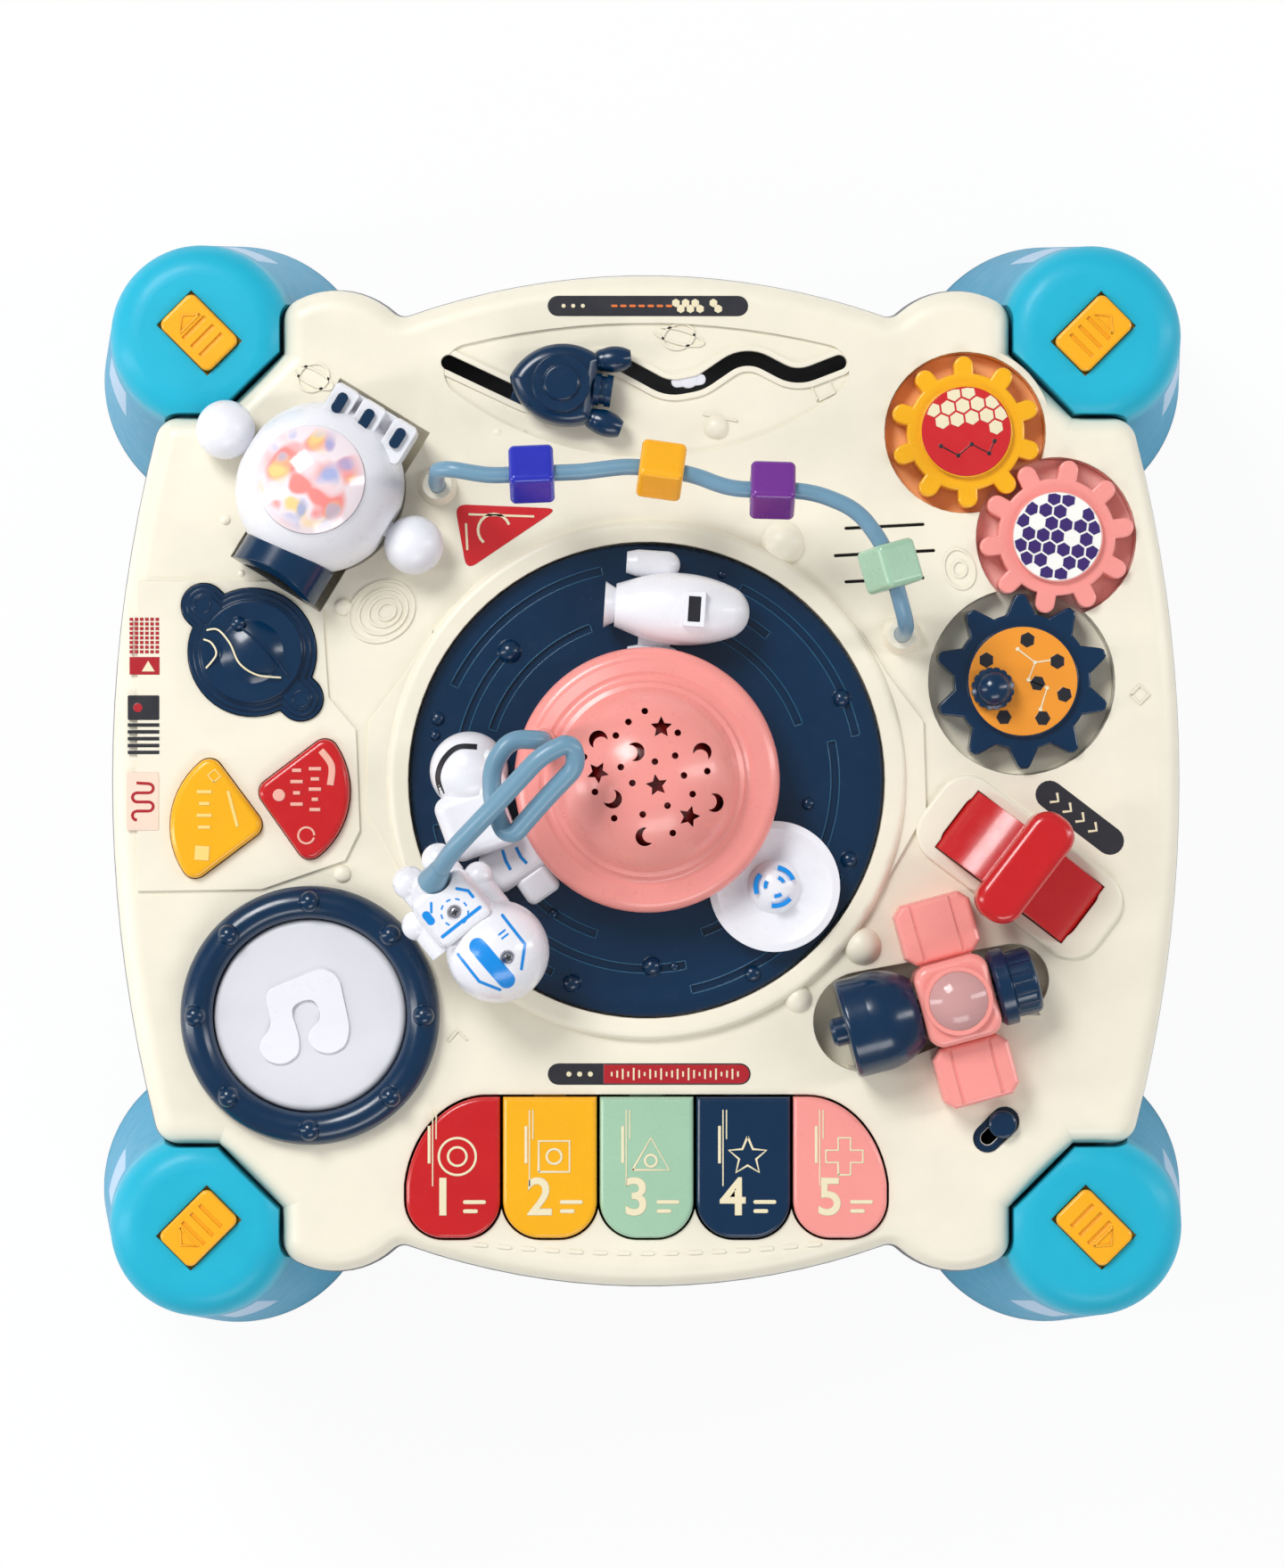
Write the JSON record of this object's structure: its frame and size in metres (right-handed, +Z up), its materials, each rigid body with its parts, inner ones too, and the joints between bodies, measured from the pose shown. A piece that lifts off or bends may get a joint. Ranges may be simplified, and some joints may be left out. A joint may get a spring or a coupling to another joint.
{
  "type": "musical activity table",
  "caption": "Low activity table on four tapered legs with piano keys, drum, buttons, gears, a spinning disc with toys, bead rail, roller, lever and slider.",
  "frame": {"origin": "on the floor under the middle of the play panel", "axes": "+Z up; the row of keys faces -Y, the gears are at +X"},
  "size_m": [0.445, 0.445, 0.2857],
  "materials": {
    "cream_shell": "satin moulded",
    "grey_housing": "satin moulded",
    "cyan_plastic": "gloss moulded",
    "orange_plastic": "gloss moulded",
    "foot_rubber": "matt",
    "red_plastic": "gloss moulded",
    "yellow_plastic": "gloss moulded",
    "sage_plastic": "gloss moulded",
    "navy_plastic": "gloss moulded",
    "pink_plastic": "gloss moulded",
    "white_plastic": "gloss moulded",
    "tube_blue": "satin",
    "bead_blue_plastic": "gloss moulded",
    "bead_purple_plastic": "gloss moulded",
    "lens_red": "translucent",
    "lens_clear": "clear",
    "lens_pink": "frosted",
    "steel": "bright",
    "board_green": "laminate",
    "speaker_black": "matt",
    "battery_sleeve": "wrap",
    "pearl_mix": "mixed colours"
  },
  "bodies": {
    "root": {"batteries": "battery_sleeve", "battery_door": "grey_housing", "bead_rail": "tube_blue", "circuit_board": "board_green", "dome_lens": "lens_red", "drum_ring": "navy_plastic", "housing_screws": "steel", "key_pin": "steel", "lower_housing": "grey_housing", "rattle_posts": "white_plastic", "speaker": "speaker_black", "station_body": "pink_plastic", "station_lens": "lens_pink", "top_panel": "cream_shell", "turntable_spindle": "grey_housing"},
    "leg_back_right": {"leg_back_right": "cyan_plastic", "foot_pad_back_right": "foot_rubber"},
    "latch_back_right": {"leg_latch_back_right": "orange_plastic"},
    "leg_back_left": {"leg_back_left": "cyan_plastic", "foot_pad_back_left": "foot_rubber"},
    "latch_back_left": {"leg_latch_back_left": "orange_plastic"},
    "leg_front_left": {"leg_front_left": "cyan_plastic", "foot_pad_front_left": "foot_rubber"},
    "latch_front_left": {"leg_latch_front_left": "orange_plastic"},
    "leg_front_right": {"leg_front_right": "cyan_plastic", "foot_pad_front_right": "foot_rubber"},
    "latch_front_right": {"leg_latch_front_right": "orange_plastic"},
    "key_red": {"key_red": "red_plastic"},
    "key_yellow": {"key_yellow": "yellow_plastic"},
    "key_sage": {"key_sage": "sage_plastic"},
    "key_navy": {"key_navy": "navy_plastic"},
    "key_pink": {"key_pink": "pink_plastic"},
    "drum": {"drum_head": "white_plastic"},
    "planet": {"planet_button": "navy_plastic"},
    "tone": {"tone_button": "yellow_plastic"},
    "mode": {"mode_button": "red_plastic"},
    "turntable": {"turntable": "navy_plastic", "toy_rocket": "white_plastic", "toy_dish": "white_plastic", "toy_capsule": "white_plastic", "tether_tube": "tube_blue", "astronaut_front": "white_plastic", "astronaut_back": "white_plastic", "projector_dome": "pink_plastic"},
    "rattle": {"rattle_body": "white_plastic", "rattle_window": "lens_clear", "rattle_beads": "pearl_mix", "rattle_trim": "navy_plastic"},
    "bead_blue": {"bead_blue": "bead_blue_plastic"},
    "bead_orange": {"bead_orange": "orange_plastic"},
    "bead_purple": {"bead_purple": "bead_purple_plastic"},
    "bead_green": {"bead_green": "sage_plastic"},
    "slider": {"slider_rocket": "navy_plastic"},
    "gear_navy": {"gear_navy": "navy_plastic"},
    "gear_pink": {"gear_pink": "pink_plastic"},
    "gear_yellow": {"gear_yellow": "yellow_plastic"},
    "crank_knob": {"crank_knob": "navy_plastic"},
    "lever": {"lever": "red_plastic"},
    "station_roller": {"station_roller": "navy_plastic"},
    "switch_knob": {"switch_knob": "navy_plastic"}
  },
  "joints": [
    {"name": "leg_slide_back_right", "type": "slide", "parent": "root", "child": "leg_back_right", "axis": [0.7071, 0.7071, 0], "range_m": [0, 0.015]},
    {"name": "latch_press_back_right", "type": "slide", "parent": "leg_back_right", "child": "latch_back_right", "axis": [0, 0, -1], "range_m": [0, 0.002], "stiffness_N_per_m": 400, "springref_m": -0.003},
    {"name": "leg_slide_back_left", "type": "slide", "parent": "root", "child": "leg_back_left", "axis": [-0.7071, 0.7071, 0], "range_m": [0, 0.015]},
    {"name": "latch_press_back_left", "type": "slide", "parent": "leg_back_left", "child": "latch_back_left", "axis": [0, 0, -1], "range_m": [0, 0.002], "stiffness_N_per_m": 400, "springref_m": -0.003},
    {"name": "leg_slide_front_left", "type": "slide", "parent": "root", "child": "leg_front_left", "axis": [-0.7071, -0.7071, 0], "range_m": [0, 0.015]},
    {"name": "latch_press_front_left", "type": "slide", "parent": "leg_front_left", "child": "latch_front_left", "axis": [0, 0, -1], "range_m": [0, 0.002], "stiffness_N_per_m": 400, "springref_m": -0.003},
    {"name": "leg_slide_front_right", "type": "slide", "parent": "root", "child": "leg_front_right", "axis": [0.7071, -0.7071, 0], "range_m": [0, 0.015]},
    {"name": "latch_press_front_right", "type": "slide", "parent": "leg_front_right", "child": "latch_front_right", "axis": [0, 0, -1], "range_m": [0, 0.002], "stiffness_N_per_m": 400, "springref_m": -0.003},
    {"name": "key_press_red", "type": "hinge", "parent": "root", "child": "key_red", "pos_m": [0, -0.1115, 0.203], "axis": [1, 0, 0], "range_deg": [0, 4], "stiffness_Nm_per_rad": 0.4, "springref_deg": -5.73},
    {"name": "key_press_yellow", "type": "hinge", "parent": "root", "child": "key_yellow", "pos_m": [0, -0.1115, 0.203], "axis": [1, 0, 0], "range_deg": [0, 4], "stiffness_Nm_per_rad": 0.4, "springref_deg": -5.73},
    {"name": "key_press_sage", "type": "hinge", "parent": "root", "child": "key_sage", "pos_m": [0, -0.1115, 0.203], "axis": [1, 0, 0], "range_deg": [0, 4], "stiffness_Nm_per_rad": 0.4, "springref_deg": -5.73},
    {"name": "key_press_navy", "type": "hinge", "parent": "root", "child": "key_navy", "pos_m": [0, -0.1115, 0.203], "axis": [1, 0, 0], "range_deg": [0, 4], "stiffness_Nm_per_rad": 0.4, "springref_deg": -5.73},
    {"name": "key_press_pink", "type": "hinge", "parent": "root", "child": "key_pink", "pos_m": [0, -0.1115, 0.203], "axis": [1, 0, 0], "range_deg": [0, 4], "stiffness_Nm_per_rad": 0.4, "springref_deg": -5.73},
    {"name": "drum_press", "type": "slide", "parent": "root", "child": "drum", "axis": [0, 0, -1], "range_m": [0, 0.002], "stiffness_N_per_m": 400, "springref_m": -0.003},
    {"name": "planet_press", "type": "slide", "parent": "root", "child": "planet", "axis": [0, 0, -1], "range_m": [0, 0.0025], "stiffness_N_per_m": 400, "springref_m": -0.003},
    {"name": "tone_press", "type": "slide", "parent": "root", "child": "tone", "axis": [0, 0, -1], "range_m": [0, 0.003], "stiffness_N_per_m": 400, "springref_m": -0.003},
    {"name": "mode_press", "type": "slide", "parent": "root", "child": "mode", "axis": [0, 0, -1], "range_m": [0, 0.003], "stiffness_N_per_m": 400, "springref_m": -0.003},
    {"name": "turntable_spin", "type": "hinge", "parent": "root", "child": "turntable", "pos_m": [0, 0, 0.212], "axis": [0, 0, 1], "continuous": true},
    {"name": "rattle_spin", "type": "hinge", "parent": "root", "child": "rattle", "pos_m": [-0.1235, 0.11, 0.222], "axis": [0.8525, -0.5227, 0], "continuous": true},
    {"name": "bead_slide_blue", "type": "slide", "parent": "root", "child": "bead_blue", "axis": [0.9992, 0.0411, 0], "range_m": [-0.01, 0.012]},
    {"name": "bead_slide_orange", "type": "slide", "parent": "root", "child": "bead_orange", "axis": [0.9908, -0.1351, 0], "range_m": [-0.005, 0.005]},
    {"name": "bead_slide_purple", "type": "slide", "parent": "root", "child": "bead_purple", "axis": [0.9996, -0.0267, 0], "range_m": [-0.006, 0.006]},
    {"name": "bead_slide_green", "type": "slide", "parent": "root", "child": "bead_green", "axis": [0.2822, -0.9594, 0], "range_m": [-0.001, 0.003]},
    {"name": "slider_slide", "type": "slide", "parent": "root", "child": "slider", "axis": [-0.9052, 0.4249, 0], "range_m": [0, 0.026]},
    {"name": "gear_navy_spin", "type": "hinge", "parent": "root", "child": "gear_navy", "pos_m": [0.1403, 0.0369, 0.208], "axis": [0, 0, 1], "continuous": true},
    {"name": "gear_pink_spin", "type": "hinge", "parent": "root", "child": "gear_pink", "pos_m": [0.1532, 0.0909, 0.208], "axis": [0, 0, 1], "continuous": true},
    {"name": "gear_yellow_spin", "type": "hinge", "parent": "root", "child": "gear_yellow", "pos_m": [0.1192, 0.1301, 0.208], "axis": [0, 0, 1], "continuous": true},
    {"name": "crank_knob_spin", "type": "hinge", "parent": "gear_navy", "child": "crank_knob", "pos_m": [0.1288, 0.034, 0.222], "axis": [0, 0, 1], "continuous": true},
    {"name": "lever_pull", "type": "hinge", "parent": "root", "child": "lever", "pos_m": [0.1393, -0.0324, 0.19], "axis": [0.6073, 0.7944, 0], "range_deg": [0, 25], "stiffness_Nm_per_rad": 0.5, "springref_deg": -5.73},
    {"name": "station_roller_spin", "type": "hinge", "parent": "root", "child": "station_roller", "pos_m": [0.115, -0.0817, 0.222], "axis": [0.9645, 0.264, 0], "continuous": true},
    {"name": "switch_slide", "type": "slide", "parent": "root", "child": "switch_knob", "axis": [-0.7071, -0.7071, 0], "range_m": [0, 0.006]}
  ],
  "couplings": [
    {"joint": "gear_pink_spin", "follows": "gear_navy_spin", "ratio": -1},
    {"joint": "gear_yellow_spin", "follows": "gear_navy_spin", "ratio": 1}
  ]
}
